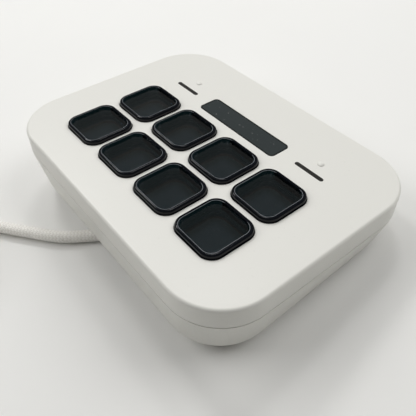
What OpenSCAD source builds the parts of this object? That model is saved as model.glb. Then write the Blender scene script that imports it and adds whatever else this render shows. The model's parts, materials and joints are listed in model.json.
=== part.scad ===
/* [Body] */
// Width of the keypad
body_w = 107; // [100:1:120]
// Length of the sloping face, front edge to rear edge
body_d = 79; // [78:1:86]
// Corner radius of the body, seen square to the face
corner_r = 17; // [12:0.5:20]
// Rounding of the face's rim
edge_r = 0.9; // [0.5:0.1:1.5]
// Slope of the face
tilt = 7.5; // [6.5:0.5:8.5]
// Height of the face's rear edge over the table
rear_h = 26; // [25.5:0.5:28]
// Thickness of the face plate
face_t = 2.2; // [1.6:0.1:2.4]
// Thickness of the side walls
wall_t = 2.2; // [1.6:0.1:2.6]

/* [Bottom] */
// Depth of the seam between the two shells
seam_drop = 7; // [6:0.5:8]
// Open groove between the two shells
seam_gap = 0.3; // [0.2:0.05:0.5]
// Depth of the hull's front edge, square to the face
keel_front = 15.5; // [15.4:0.1:16]
// Depth of the hull's rear edge, square to the face
keel_rear = 21.5; // [21:0.5:22]
// How far the hull draws in from the seam to its lower edge
keel_inset = 1.9; // [1:0.1:3]
// Rounding of the hull's lower edge
keel_r = 1; // [0.5:0.1:1.5]
// Thickness of the bottom shell's floor
floor_t = 2; // [1.6:0.1:2.2]
// Height of the locating tongue on the bottom shell
tongue_h = 1.6; // [1:0.1:2]
// Thickness of the locating tongue
tongue_t = 0.9; // [0.7:0.1:1]
// Clearance round the tongue in its rebate
tongue_gap = 0.15; // [0.1:0.05:0.2]

/* [Foot] */
// Width of the rubber foot pad
pad_w = 94; // [92:1:94]
// Length of the rubber foot pad
pad_d = 66; // [65:1:67]
// Corner radius of the foot pad
pad_r = 9; // [7:0.5:9]
// Thickness of the foot pad
pad_t = 1.2; // [1:0.1:1.4]
// How far the pad stands out of its recess
pad_proud = 0.5; // [0.4:0.1:0.6]
// Wall of the foot round the pad
foot_rim = 1; // [0.8:0.1:1.2]
// Clearance round the pad in its recess
pad_gap = 0.1; // [0.05:0.05:0.15]

/* [Keys] */
// Columns of keys
key_cols = 4; // [4:1:4]
// Rows of keys
key_rows = 2; // [2:1:2]
// Distance between key centres
key_pitch = 19.5; // [19.3:0.1:20]
// Distance of the key grid's centre from the face's rear edge
key_grid_y = 30.6; // [30:0.1:31.5]
// Width of a key hole
key_hole = 17.6; // [17.4:0.1:17.8]
// Corner radius of a key hole
key_hole_r = 4.3; // [3.5:0.1:5]
// Gap round a key in its hole
key_gap = 0.3; // [0.2:0.05:0.35]
// Height of the key caps over the face
key_proud = 1.4; // [1:0.1:2]
// Rounding of a key cap's rim
key_edge_r = 0.6; // [0.4:0.1:0.8]
// Travel of a key
key_travel = 1.2; // [0.8:0.1:1.2]
// Clearance under a key that is pressed home
press_gap = 0.1; // [0.1:0.05:0.2]
// Width of a key's clear window
key_window = 14.8; // [14:0.1:15]
// Corner radius of a key's clear window
key_window_r = 3.4; // [2.5:0.1:4]
// Depth of the clear window under the cap's rim
key_window_sink = 0.7; // [0.2:0.1:0.8]
// Rounding of the clear window's rim
key_window_edge_r = 0.2; // [0.1:0.05:0.3]
// Width of the retaining flange round a key
key_flange_w = 19; // [18.8:0.05:19.1]
// Thickness of the retaining flange
key_flange_t = 1; // [0.8:0.1:1.2]
// Gap over the retaining flange at rest
key_flange_gap = 0.15; // [0.1:0.05:0.3]
// Length of a key's skirt under its flange
key_skirt_l = 1; // [0.8:0.1:1.2]
// Thickness of the lip that carries the clear window
key_lip_t = 0.7; // [0.5:0.1:0.9]
// Width of the lip that carries the clear window
key_lip_w = 0.5; // [0.4:0.1:0.8]

/* [Info window and touch strips] */
// Width of the info window
info_w = 35.4; // [30:0.2:37]
// Length of the info window, front to rear
info_d = 8.2; // [7:0.1:9]
// Corner radius of the info window
info_r = 1.7; // [1:0.1:3]
// Distance of the info window in front of the key grid's centre
info_drop = 26; // [25.5:0.1:27]
// Length of a touch strip
strip_l = 10.5; // [8:0.5:12]
// Width of a touch strip
strip_w = 1.15; // [1:0.05:1.6]
// Distance of the touch strips from the middle of the face
strip_x = 29.2; // [28:0.1:31]
// Diameter of the tactile nubs
nub_d = 1.5; // [1:0.1:2]
// Height of the tactile nubs
nub_h = 0.35; // [0.2:0.05:0.5]
// Distance of a nub in front of its touch strip
nub_drop = 5.1; // [4:0.1:6]
// Width of the hidden glue flange round windows and strips
glue_flange = 1.2; // [0.8:0.1:1.3]
// Thickness of the hidden glue flange
glue_flange_t = 0.8; // [0.6:0.1:1]
// Gap round a window or strip in its hole
window_gap = 0.1; // [0.05:0.05:0.15]

/* [Display stack] */
// Width of the display panel
panel_w = 78; // [76:1:78]
// Length of the display panel, front to rear
panel_d = 54; // [53:1:54]
// Thickness of the display glass
glass_t = 1.2; // [1:0.1:1.4]
// Thickness of the backlight under the glass
backlight_t = 1.6; // [1.2:0.1:1.8]
// Thickness of the frame that holds the display
tray_t = 1; // [0.8:0.1:1.2]
// Thickness of the silicone key mat
mat_t = 0.8; // [0.6:0.1:1]
// Height of the mat's collar round each window
collar_h = 0.4; // [0.3:0.1:0.5]
// Thickness of the key circuit board
key_board_t = 1; // [0.8:0.1:1.2]
// Play between stacked inner pieces
stack_gap = 0.2; // [0.1:0.05:0.3]
// Width of the window openings in the mat and the key board
view_w = 15.4; // [15:0.1:16]

/* [Main board and ballast] */
// Width of the main board
board_w = 60; // [56:1:64]
// Length of the main board, front to rear
board_d = 21; // [18:1:22]
// Thickness of the main board
board_t = 1.2; // [1:0.1:1.6]
// Depth of the main board's top under the face
board_drop = 13.6; // [13.6:0.1:13.8]
// Thickness of the steel ballast plate
ballast_t = 1.5; // [1:0.1:1.6]
// Width of the steel ballast plate
ballast_w = 72; // [60:1:74]
// Length of the steel ballast plate
ballast_d = 36; // [30:1:37]

/* [Screws] */
// Diameter of the shell screws' shafts
screw_d = 2; // [1.8:0.1:2.2]
// Length of the shell screws' shafts
screw_l = 8; // [7:0.5:8.5]
// Diameter of the shell screws' heads
screw_head_d = 3.8; // [3.4:0.1:4]
// Height of the shell screws' heads
screw_head_h = 1.3; // [1:0.1:1.5]
// Outer diameter of the face shell's screw bosses
boss_d = 5.6; // [5:0.1:5.8]
// Distance of the shell screws from the side edges of the display panel and the key grid
boss_x = 4.6; // [4.4:0.1:4.8]
// Distance of the shell screws from the middle, front and rear
boss_y = 27; // [26:0.5:27]
// Diameter of the small board screws' shafts
pin_d = 1.6; // [1.4:0.1:1.8]
// Clearance round a screw in its hole
screw_gap = 0.1; // [0.05:0.05:0.15]
// Spare depth under a screw's tip
tip_gap = 0.3; // [0.2:0.1:0.4]
// Wall round a screw head's well
well_wall = 1; // [0.8:0.1:1.1]

/* [Cable] */
// Diameter of the braided cable
cable_d = 4; // [4:1:4]
// Largest diameter of the cable's rubber boot
boot_d = 5.4; // [5:0.1:5.6]
// Length of the boot outside its socket
boot_l = 8; // [7:0.5:9]
// Depth of the boot's socket
boot_seat = 5; // [4:0.5:6]
// Width of the cable channel under the foot
cave_w = 24; // [22:1:28]
// Where the cable channel starts, measured from the middle
cave_y = 12; // [12:0.5:13]
// Height of the cable channel
cave_h = 6.3; // [6.1:0.1:6.4]
// Wall round the cable channel
cave_wall = 1.2; // [1:0.1:1.4]
// Length of the plug's grip
grip_l = 21; // [18:1:26]
// Width of the plug's grip
grip_w = 11.6; // [10.5:0.1:12.5]
// Thickness of the plug's grip
grip_t = 6; // [5.5:0.1:6.5]
// Corner radius of the plug's grip
grip_r = 2.6; // [1.5:0.1:2.6]
// Rounding of the grip's front edge
grip_edge_r = 0.8; // [0.5:0.1:1.2]
// Length of the plug's metal shell
plug_l = 6.6; // [6.2:0.1:6.8]
// Width of the plug's metal shell
plug_w = 8.3; // [8.2:0.05:8.35]
// Thickness of the plug's metal shell
plug_t = 2.5; // [2.4:0.05:2.6]
// Wall of the plug's metal shell
plug_wall = 0.3; // [0.2:0.05:0.35]

/* [Hidden] */
$fn = 64;
// A cut runs this far past the face that it opens
over = 1;

key_count = key_cols * key_rows;
KEY_FRAMES = [for (i = [1 : key_count]) str("key_frame_", i)];
KEY_WINDOWS = [for (i = [1 : key_count]) str("key_window_", i)];

// The face's own frame: its middle is the zero, its plane is z = 0
face_z = rear_h - body_d / 2 * sin(tilt);
rear_reach = body_d / 2 * cos(tilt) + (seam_drop + seam_gap) * sin(tilt);
front_reach = (body_d / 2 - edge_r) * cos(tilt) - edge_r * sin(tilt) + edge_r;
face_y = (front_reach - rear_reach) / 2;

// The hull's sloping underside, and the depth of the floor's upper side under the face
keel_slope = atan((keel_rear - keel_front) / body_d);
keel_mid = (keel_front + keel_rear) / 2;
hull_top = -seam_drop - seam_gap;
slice_t = 0.02;
pad_y = 1.8;

// Key grid
key_w = key_hole - 2 * key_gap;
key_r = key_hole_r - key_gap;
grid_y = body_d / 2 - key_grid_y;
key_xs = [for (i = [0 : key_cols - 1]) (i - (key_cols - 1) / 2) * key_pitch];
key_ys = [for (i = [0 : key_rows - 1]) grid_y + ((key_rows - 1) / 2 - i) * key_pitch];
KEY_SPOTS = [for (y = key_ys) for (x = key_xs) [x, y]];
info_y = grid_y - info_drop;
// Radius of the ball that a nub's cap is cut from
nub_ball_r = (nub_d * nub_d / 4 + nub_h * nub_h) / (2 * nub_h);

// Levels of the stack under the face, all below zero
window_top = key_proud - key_window_sink;
flange_top = -face_t - key_flange_gap;
flange_low = flange_top - key_flange_t;
skirt_low = flange_low - key_skirt_l;
collar_top = skirt_low - key_travel - press_gap;
mat_top = collar_top - collar_h;
key_board_top = mat_top - mat_t;
key_board_low = key_board_top - key_board_t;
glass_top = key_board_low - stack_gap;
glass_low = glass_top - glass_t;
backlight_low = glass_low - backlight_t;
tray_low = backlight_low - tray_t;
board_low = -board_drop - board_t;

// Lights on the key board, three under each touch strip
led_w = 1.6;
led_d = 0.8;
led_h = 0.6;
led_pitch = 3.4;
led_gap = 0.2;
strip_low = key_board_top + led_h + led_gap;

// Display stack in plan. The panel reaches forward of the keys, to back the info window too
panel_shift = 6.5;
panel_y = grid_y - panel_shift;
tray_w = panel_w + 2 * (stack_gap + tray_t);
tray_d = panel_d + 2 * (stack_gap + tray_t);
panel_r = 1;
tray_r = 2;
ear_r = 1.9;
ear_y = tray_d / 2 + ear_r - tray_t / 2;
ear_pitch = 30;
EAR_SPOTS = [for (i = [-1, 0, 1]) for (s = [-1, 1]) [i * ear_pitch, panel_y + s * ear_y]];
key_board_w = tray_w - 2 * stack_gap;
key_board_d = 2 * (ear_y + ear_r);
key_board_r = 2;
collar_rim = 0.5;
collar_w = key_w + 2 * collar_rim;
mat_rim = 0.7;
mat_r = 2;
mat_w = (key_cols - 1) * key_pitch + collar_w + 2 * mat_rim;
mat_d = (key_rows - 1) * key_pitch + collar_w + 2 * mat_rim;
view_r = key_window_r + (view_w - key_window) / 2;
info_view_gap = 0.5;

// Boards, ballast and ribbons
board_edge = 5.5;
board_y = body_d / 2 - board_edge - board_d / 2;
board_r = 1.5;
post_inset = [4, 3.5];
POST_SPOTS = [for (x = [-1, 1]) for (y = [-1, 1])
                 [x * (board_w / 2 - post_inset.x), board_y + y * (board_d / 2 - post_inset.y)]];
post_d = 4.4;
pin_head_d = 2.6;
pin_head_h = 0.8;
pin_hole_d = pin_d + 2 * screw_gap;
post_grip = 2.2;
ear_t = 1;
ear_seat = key_board_low - ear_t;
ear_screw_l = 4.5;
ballast_gap = 0.4;
ballast_y = -body_d / 2 + wall_t + keel_inset + keel_r + ballast_gap + ballast_d / 2;
ballast_r = 3;
stake_inset = [6, 5];
STAKE_SPOTS = [for (x = [-1, 1]) for (y = [-1, 1])
                  [x * (ballast_w / 2 - stake_inset.x), ballast_y + y * (ballast_d / 2 - stake_inset.y)]];
stake_d = 2.6;
stake_head_d = 4.2;
stake_head_h = 0.6;
socket_h = 1.4;
socket_d = 4;
socket_rim = 1;
socket_edge = 1.6;
socket_rear = board_y + board_d / 2 - socket_edge;
// Chips on the main board: place of the corner from the board's middle, width, length, height
CHIPS = [[-6, -8, 7, 7, 0.9], [5, -7, 5, 4, 0.8], [14, -7, 4, 4, 1.2], [-17, -7, 4.9, 3.9, 0.8]];
ribbon_t = 0.2;
ribbon_bend_r = 1;
ribbon_seat = 0.8;
ribbon_end_z = -board_drop + ribbon_seat;
display_ribbon_x = -14;
display_ribbon_w = 16;
display_ribbon_z = -10;
ribbon_slot_h = 1;
key_ribbon_x = 16;
key_ribbon_w = 10;
panel_rear = panel_y + panel_d / 2;
display_bend_edge = 4.9;
display_bend_y = body_d / 2 - display_bend_edge;
key_bend_edge = 4.1;
key_bend_y = body_d / 2 - key_bend_edge;

// Ribs up the bottom shell's side walls
rib_t = 1;
rib_reach = 2.2;
rib_drop = 1.5;
rib_pitch = 13;
RIB_YS = [for (i = [0 : 3]) (i - 1.5) * rib_pitch];

// Shell screws
boss_reach = max(panel_w, key_cols * key_pitch) / 2 + boss_x;
BOSS_SPOTS = [for (x = [-1, 1]) for (y = [-1, 1]) [x * boss_reach, y * boss_y]];
boss_low = -9;
boss_grip = 3.6;
screw_drive_d = 1.2;
pin_drive_d = 1;
column_gap = 0.1;
head_seat = boss_low + boss_grip - screw_l;
screw_hole_d = screw_d + 2 * screw_gap;
sink_d = screw_head_d + 4 * screw_gap;
column_d = sink_d + 2 * well_wall;

// The cable's boot in its socket, at the front of the channel under the foot
cave_edge = 6.5;
cave_rear = body_d / 2 - cave_edge;
boot_z = 3.2;
root_d = 4.4;
root_gap = 0.1;
boot_rings = 3;
boot_ring_step = 0.1;
boot_tip_wall = 0.25;
socket_gap = 0.05;
anchor_w = 10;
anchor_wall = 1.5;
anchor_l = boot_seat + anchor_wall;
anchor_front = cave_y - boot_seat - foot_rim;

// The free cable, from the boot's end to the coil, and from the coil's top to the plug
ROUTE = [[0, 20, 3.2], [0, 22, 3.2], [0.4, 25, 2.7], [1.4, 28, 2.1], [3.2, 31, 2], [6.2, 34.8, 2],
         [9.7, 38.9, 2], [12.8, 42.8, 2], [16.5, 46.9, 2], [21, 50.6, 2], [25.7, 53.9, 2],
         [30.6, 57.4, 2], [35.6, 60.8, 2], [40.6, 64.2, 2], [45.7, 67.5, 2], [50.8, 70.8, 2],
         [55.9, 74.1, 2], [60.9, 77.3, 2]];
coil_at = [45.5, 101];
coil_r = 22;
coil_w = 17;
coil_h = 12.6;
plug_z = coil_h + grip_t / 2;
plug_start = [44.5, 80, plug_z];
TAIL = [[26.3, 95.8, 10.4], [27.7, 91.9, 11.3], [30, 88, 13], [33.2, 84.6, 14.6],
        [37.2, 81.4, 15.4], [41.2, 80, 15.6], [44.5, 80, 15.6]];

// A child placed in the face's frame
module on_face() {
    translate([0, face_y, face_z])
        rotate([tilt, 0, 0])
            children();
}

// A child of the face's frame, placed on the hull's sloping underside
module on_keel() {
    translate([0, 0, -keel_mid])
        rotate([-keel_slope, 0, 0])
            children();
}

// Rectangle with round corners
module round_rect(w, d, r) {
    square([w - 2 * r, d], center = true);
    square([w, d - 2 * r], center = true);
    for (x = [-1, 1])
        for (y = [-1, 1])
            translate([x * (w / 2 - r), y * (d / 2 - r)])
                circle(r);
}

// Block with round corners between two levels
module block(w, d, r, low, high) {
    translate([0, 0, low])
        linear_extrude(high - low)
            round_rect(w, d, r);
}

// Slot with round ends between two levels
module slot(l, w, low, high) {
    translate([0, 0, low])
        linear_extrude(high - low) {
            square([l - w, w], center = true);
            for (s = [-1, 1])
                translate([s * (l - w) / 2, 0])
                    circle(d = w);
        }
}

// Half of a block's section, with a round upper edge
module edge_section(half_w, low, high, edge) {
    translate([0, low])
        square([half_w, high - edge - low]);
    translate([0, low])
        square([half_w - edge, high - low]);
    translate([half_w - edge, high - edge])
        circle(edge);
}

// A block's whole section, pulled along a given length
module edge_bar(half_w, low, high, edge, l) {
    rotate([90, 0, 0])
        linear_extrude(l, center = true) {
            edge_section(half_w, low, high, edge);
            mirror([1, 0])
                edge_section(half_w, low, high, edge);
        }
}

// Block with round corners and a round upper edge
module soft_block(w, d, r, low, high, edge) {
    edge_bar(w / 2, low, high, edge, d - 2 * r);
    rotate([0, 0, 90])
        edge_bar(d / 2, low, high, edge, w - 2 * r);
    for (x = [-1, 1])
        for (y = [-1, 1])
            translate([x * (w / 2 - r), y * (d / 2 - r)])
                rotate_extrude()
                    edge_section(r, low, high, edge);
}

// Post with a blind hole in its lower end
module post(low, high, d, hole_d, hole_top) {
    difference() {
        translate([0, 0, low])
            cylinder(h = high - low, d = d);
        translate([0, 0, low - over])
            cylinder(h = hole_top - low + over, d = hole_d);
    }
}

// Screw that stands up from its head's seat, with a hexagonal socket in the head
module screw(shaft_d, shaft_l, head_d, head_h, drive_d) {
    difference() {
        union() {
            cylinder(h = shaft_l, d = shaft_d);
            translate([0, 0, -head_h])
                cylinder(h = head_h, d = head_d);
        }
        translate([0, 0, -head_h - over])
            cylinder(h = head_h / 2 + over, d = drive_d, $fn = 6);
    }
}

// Tube swept along a route, one ring a point
function unit(v) = v / norm(v);
function heading(p, i) = unit(p[min(i + 1, len(p) - 1)] - p[max(i - 1, 0)]);
function side(t) = unit(cross(t, [0, 0, 1]));
function ring(p, i, r, n) =
    let (t = heading(p, i), u = side(t), v = cross(u, t))
    [for (k = [0 : n - 1]) p[i] + r * (cos(360 * k / n) * u + sin(360 * k / n) * v)];
module tube(p, d, n = 12) {
    rings = len(p);
    points = [for (i = [0 : rings - 1]) each ring(p, i, d / 2, n)];
    walls = [for (i = [0 : rings - 2]) for (k = [0 : n - 1])
                [i * n + k, i * n + (k + 1) % n, (i + 1) * n + (k + 1) % n, (i + 1) * n + k]];
    first = [for (k = [n - 1 : -1 : 0]) k];
    last = [for (k = [0 : n - 1]) (rings - 1) * n + k];
    polyhedron(points, concat(walls, [first, last]));
}

// Outline of the foot, open at the rear for the cable
module foot_outline(grow, notch_y) {
    difference() {
        translate([0, pad_y])
            round_rect(pad_w + 2 * grow, pad_d + 2 * grow, pad_r + grow);
        translate([-cave_w / 2 - foot_rim + grow, notch_y])
            square([cave_w + 2 * (foot_rim - grow), pad_d]);
    }
}

module face_openings() {
    for (p = KEY_SPOTS)
        translate(p)
            block(key_hole, key_hole, key_hole_r, -face_t - over, over);
    translate([0, info_y])
        block(info_w, info_d, info_r, -face_t - over, over);
    for (s = [-1, 1])
        translate([s * strip_x, info_y])
            slot(strip_l, strip_w, -face_t - over, over);
}

module nub() {
    rotate_extrude()
        intersection() {
            translate([0, nub_h - nub_ball_r])
                circle(nub_ball_r);
            translate([0, -nub_h])
                square([nub_d, 2 * nub_h]);
        }
}

module top_shell() {
    rebate = wall_t - tongue_t - tongue_gap;
    color("whitesmoke")
        on_face() {
            difference() {
                soft_block(body_w, body_d, corner_r, -seam_drop, 0, edge_r);
                block(body_w - 2 * wall_t, body_d - 2 * wall_t, corner_r - wall_t,
                      -seam_drop - over, -face_t);
                block(body_w - 2 * rebate, body_d - 2 * rebate, corner_r - rebate,
                      -seam_drop - over, -seam_drop + tongue_h);
                face_openings();
            }
            for (s = [-1, 1])
                translate([s * strip_x, info_y - nub_drop])
                    nub();
            for (p = BOSS_SPOTS)
                translate(p)
                    post(boss_low, -face_t / 2, boss_d, screw_hole_d, boss_low + boss_grip + tip_gap);
            for (p = EAR_SPOTS)
                translate(p)
                    post(key_board_top, -face_t / 2, 2 * ear_r, pin_hole_d, ear_seat + ear_screw_l + tip_gap);
        }
}

// The hull's outer form, drawn in by a wall and lifted by a floor
module hull_solid(inset, lift) {
    low_w = body_w - 2 * (keel_inset + inset);
    low_d = body_d - 2 * (keel_inset + inset);
    low_r = corner_r - inset;
    hull() {
        block(body_w - 2 * inset, body_d - 2 * inset, corner_r - inset, hull_top - slice_t, hull_top);
        on_keel()
            for (turn = [0, 45, 90]) {
                pull = keel_r * (1 - cos(turn));
                level = lift + keel_r * (1 - sin(turn));
                block(low_w - 2 * pull, low_d - 2 * pull, low_r - pull, level, level + slice_t);
            }
    }
}

// What stands on the floor inside the bottom shell, in the face's frame
module floor_posts() {
    deep = keel_rear + over;
    for (p = BOSS_SPOTS)
        translate([p.x, p.y, -deep])
            cylinder(h = deep + boss_low - column_gap, d = column_d);
    for (p = POST_SPOTS)
        translate([p.x, p.y, -deep])
            cylinder(h = deep + board_low, d = post_d);
    on_keel()
        for (p = STAKE_SPOTS)
            translate([p.x, p.y, 0]) {
                cylinder(h = floor_t + ballast_t + stake_head_h, d = stake_d);
                translate([0, 0, floor_t + ballast_t])
                    cylinder(h = stake_head_h, d = stake_head_d);
            }
}

// Ribs that stiffen the bottom shell's side walls, in the face's frame
module wall_ribs() {
    deep = keel_rear + over;
    rib_w = rib_reach + keel_inset + over;
    rib_x = body_w / 2 - wall_t - keel_inset - rib_reach + rib_w / 2;
    for (s = [-1, 1])
        for (y = RIB_YS)
            translate([s * rib_x - rib_w / 2, y - rib_t / 2, -deep])
                cube([rib_w, rib_t, deep + hull_top - rib_drop]);
}

// Hood over the cable's channel, and the block that holds the boot
module cable_hood() {
    hood_w = cave_w + 2 * cave_wall;
    translate([-hood_w / 2, cave_y - cave_wall, 0])
        cube([hood_w, cave_rear - cave_y + 2 * cave_wall, cave_h + cave_wall]);
    translate([-anchor_w / 2, cave_y - anchor_l, 0])
        cube([anchor_w, anchor_l, cave_h + cave_wall]);
}

module foot() {
    intersection() {
        translate([0, 0, pad_proud])
            linear_extrude(rear_h)
                foot_outline(foot_rim, cave_y);
        on_face()
            on_keel()
                translate([-body_w, -body_w, -rear_h])
                    cube([2 * body_w, 2 * body_w, rear_h + floor_t / 2]);
    }
}

module screw_wells() {
    for (p = BOSS_SPOTS)
        translate([p.x, p.y, -rear_h]) {
            cylinder(h = rear_h + boss_low + over, d = screw_hole_d);
            cylinder(h = rear_h + head_seat, d = sink_d);
        }
    for (p = POST_SPOTS)
        translate([p.x, p.y, board_low - post_grip - tip_gap])
            cylinder(h = post_grip + tip_gap + over, d = pin_hole_d);
}

// Room for the face shell's screw bosses beside the tongue and the wall under it
module boss_rooms() {
    for (p = BOSS_SPOTS)
        translate([p.x, p.y, boss_low])
            cylinder(h = -boss_low, d = boss_d + 2 * tongue_gap);
}

module bottom_shell() {
    tongue_w = body_w - 2 * (wall_t - tongue_t);
    tongue_d = body_d - 2 * (wall_t - tongue_t);
    tongue_r = corner_r - wall_t + tongue_t;
    color("gainsboro")
        difference() {
            union() {
                difference() {
                    on_face()
                        hull_solid(0, 0);
                    difference() {
                        on_face() {
                            hull_solid(wall_t, floor_t);
                            block(body_w - 2 * wall_t, body_d - 2 * wall_t, corner_r - wall_t,
                                  hull_top - slice_t, hull_top + over);
                        }
                        on_face() {
                            floor_posts();
                            wall_ribs();
                        }
                        cable_hood();
                    }
                }
                on_face()
                    difference() {
                        block(tongue_w, tongue_d, tongue_r, hull_top - slice_t,
                              -seam_drop + tongue_h - tongue_gap);
                        block(tongue_w - 2 * tongue_t, tongue_d - 2 * tongue_t, tongue_r - tongue_t,
                              hull_top - over, 0);
                    }
                foot();
            }
            on_face() {
                screw_wells();
                boss_rooms();
            }
            translate([0, 0, -over])
                linear_extrude(over + pad_t)
                    foot_outline(pad_gap, anchor_front);
            translate([-cave_w / 2, cave_y, -over])
                cube([cave_w, cave_rear - cave_y, cave_h + over]);
            translate([0, cave_y + over, boot_z])
                rotate([90, 0, 0])
                    cylinder(h = boot_seat + over, d = root_d + 2 * socket_gap);
        }
}

module foot_pad() {
    color("dimgray")
        linear_extrude(pad_t)
            foot_outline(0, anchor_front);
}

module info_window() {
    color("darkslategray")
        on_face()
            translate([0, info_y]) {
                block(info_w - 2 * window_gap, info_d - 2 * window_gap, info_r - window_gap, -face_t, 0);
                block(info_w + 2 * glue_flange, info_d + 2 * glue_flange, info_r + glue_flange,
                      -face_t - glue_flange_t, -face_t);
            }
}

module touch_strips() {
    color("gray")
        on_face()
            for (s = [-1, 1])
                translate([s * strip_x, info_y]) {
                    slot(strip_l - 2 * window_gap, strip_w - 2 * window_gap, strip_low, 0);
                    slot(strip_l + 2 * glue_flange, strip_w + 2 * glue_flange,
                         -face_t - glue_flange_t, -face_t);
                }
}

module strip_leds() {
    color("lightyellow")
        on_face()
            for (s = [-1, 1])
                for (i = [-1, 0, 1])
                    translate([s * strip_x + i * led_pitch - led_w / 2, info_y - led_d / 2, key_board_top])
                        cube([led_w, led_d, led_h]);
}

module key_mat() {
    color("dimgray")
        on_face()
            difference() {
                union() {
                    translate([0, grid_y])
                        block(mat_w, mat_d, mat_r, key_board_top, mat_top);
                    for (p = KEY_SPOTS)
                        translate(p)
                            block(collar_w, collar_w, view_r + (collar_w - view_w) / 2, mat_top, collar_top);
                }
                for (p = KEY_SPOTS)
                    translate(p)
                        block(view_w, view_w, view_r, key_board_top - over, 0);
            }
}

module key_board() {
    color("darkgreen")
        on_face()
            difference() {
                translate([0, panel_y])
                    block(key_board_w, key_board_d, key_board_r, key_board_low, key_board_top);
                for (p = KEY_SPOTS)
                    translate(p)
                        block(view_w, view_w, view_r, key_board_low - over, 0);
                translate([0, info_y])
                    block(info_w + 2 * info_view_gap, info_d + 2 * info_view_gap, info_r + info_view_gap,
                          key_board_low - over, 0);
                for (p = EAR_SPOTS)
                    translate([p.x, p.y, key_board_low - over])
                        cylinder(h = key_board_t + 2 * over, d = pin_hole_d);
            }
}

module display_glass() {
    color("black")
        on_face()
            translate([0, panel_y])
                block(panel_w, panel_d, panel_r, glass_low, glass_top);
}

module backlight() {
    color("white")
        on_face()
            translate([0, panel_y])
                block(panel_w, panel_d, panel_r, backlight_low, glass_low);
}

module display_frame() {
    color("lightgray")
        on_face()
            difference() {
                union() {
                    translate([0, panel_y])
                        block(tray_w, tray_d, tray_r, tray_low, key_board_low);
                    for (p = EAR_SPOTS)
                        translate([p.x, p.y, ear_seat])
                            cylinder(h = ear_t, r = ear_r);
                }
                translate([0, panel_y])
                    block(panel_w + 2 * stack_gap, panel_d + 2 * stack_gap, panel_r + stack_gap,
                          backlight_low, 0);
                translate([display_ribbon_x - display_ribbon_w / 2 - stack_gap, panel_rear,
                           display_ribbon_z - ribbon_slot_h / 2])
                    cube([display_ribbon_w + 2 * stack_gap, tray_d, ribbon_slot_h]);
                for (p = EAR_SPOTS)
                    translate([p.x, p.y, ear_seat - over])
                        cylinder(h = ear_t + 2 * over, d = pin_hole_d);
            }
}

module display_screws() {
    color("silver")
        on_face()
            for (p = EAR_SPOTS)
                translate([p.x, p.y, ear_seat])
                    screw(pin_d, ear_screw_l, pin_head_d, pin_head_h, pin_drive_d);
}

// Quarter of a ring, in the first quadrant
module quarter_ring(r, t) {
    intersection() {
        difference() {
            circle(r + t / 2);
            circle(r - t / 2);
        }
        square(r + t);
    }
}

// Flat ribbon that leaves a board's rear edge, bends down and turns back to its socket
module ribbon(x, w, from_y, from_z, bend_y) {
    arc_y = bend_y - ribbon_bend_r;
    translate([x - w / 2, 0, 0])
        rotate([90, 0, 90])
            linear_extrude(w) {
                translate([from_y, from_z - ribbon_t / 2])
                    square([arc_y - from_y, ribbon_t]);
                translate([arc_y, from_z - ribbon_bend_r])
                    quarter_ring(ribbon_bend_r, ribbon_t);
                translate([bend_y - ribbon_t / 2, ribbon_end_z + ribbon_bend_r])
                    square([ribbon_t, from_z - ribbon_end_z - 2 * ribbon_bend_r]);
                translate([arc_y, ribbon_end_z + ribbon_bend_r])
                    mirror([0, 1])
                        quarter_ring(ribbon_bend_r, ribbon_t);
                translate([socket_rear, ribbon_end_z - ribbon_t / 2])
                    square([arc_y - socket_rear, ribbon_t]);
            }
}

module display_ribbon() {
    color("orange")
        on_face()
            ribbon(display_ribbon_x, display_ribbon_w, panel_rear, display_ribbon_z, display_bend_y);
}

module key_ribbon() {
    color("orange")
        on_face()
            ribbon(key_ribbon_x, key_ribbon_w, panel_y + tray_d / 2 + stack_gap,
                   key_board_low - ribbon_t / 2, key_bend_y);
}

module main_board() {
    color("darkgreen")
        on_face()
            difference() {
                translate([0, board_y])
                    block(board_w, board_d, board_r, board_low, -board_drop);
                for (p = POST_SPOTS)
                    translate([p.x, p.y, board_low - over])
                        cylinder(h = board_t + 2 * over, d = pin_hole_d);
            }
}

module board_chips() {
    color("black")
        on_face()
            for (c = CHIPS)
                translate([c[0], board_y + c[1], -board_drop])
                    cube([c[2], c[3], c[4]]);
}

// Socket for a ribbon on the main board
module board_socket(x, ribbon_w) {
    w = ribbon_w + 2 * socket_rim;
    translate([x - w / 2, socket_rear - socket_d, -board_drop])
        cube([w, socket_d, socket_h]);
}

module board_sockets() {
    color("ivory")
        on_face() {
            board_socket(display_ribbon_x, display_ribbon_w);
            board_socket(key_ribbon_x, key_ribbon_w);
        }
}

module board_screws() {
    color("silver")
        on_face()
            for (p = POST_SPOTS)
                translate([p.x, p.y, -board_drop])
                    mirror([0, 0, 1])
                        screw(pin_d, board_t + post_grip, pin_head_d, pin_head_h, pin_drive_d);
}

// Steel plate held by four stakes, cut clear of the block that holds the boot
module ballast_plate() {
    color("slategray")
        difference() {
            on_face()
                on_keel()
                    difference() {
                        translate([0, ballast_y])
                            block(ballast_w, ballast_d, ballast_r, floor_t, floor_t + ballast_t);
                        for (p = STAKE_SPOTS)
                            translate([p.x, p.y, 0])
                                cylinder(h = floor_t + ballast_t + over, d = stake_d + 2 * screw_gap);
                    }
            translate([-anchor_w / 2 - ballast_gap, cave_y - anchor_l - ballast_gap, 0])
                cube([anchor_w + 2 * ballast_gap, body_d, rear_h]);
        }
}

module shell_screws() {
    color("silver")
        on_face()
            for (p = BOSS_SPOTS)
                translate([p.x, p.y, head_seat])
                    screw(screw_d, screw_l, screw_head_d, screw_head_h, screw_drive_d);
}

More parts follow.
